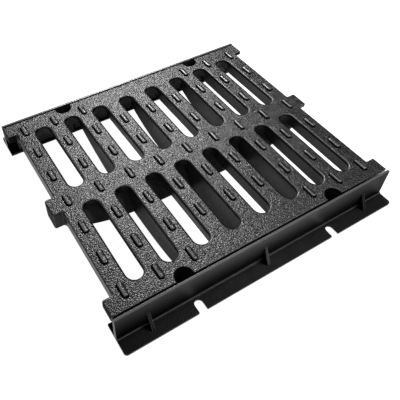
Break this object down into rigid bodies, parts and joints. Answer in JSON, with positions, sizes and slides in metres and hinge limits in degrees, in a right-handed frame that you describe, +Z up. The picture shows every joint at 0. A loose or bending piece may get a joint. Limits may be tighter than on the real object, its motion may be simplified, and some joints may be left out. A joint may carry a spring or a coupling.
{
  "type": "grating cover",
  "caption": "Cast iron slotted drainage grating with raised grip studs and lifting notches, resting flush in cast frame rails that have gussets and anchor notches.",
  "frame": {"origin": "under the middle of the set, on the plane that the rails stand on", "axes": "+X along the channel and the rails, +Y across the channel from the front rail to the back rail, +Z up"},
  "size_m": [0.5, 0.469, 0.058],
  "materials": {
    "grating_iron": "satin black coating over a sand-cast skin",
    "rail_iron": "satin black coating, smoother than the grating's"
  },
  "bodies": {
    "root": {"grating": "grating_iron", "front_rail": "rail_iron", "back_rail": "rail_iron"}
  },
  "joints": []
}
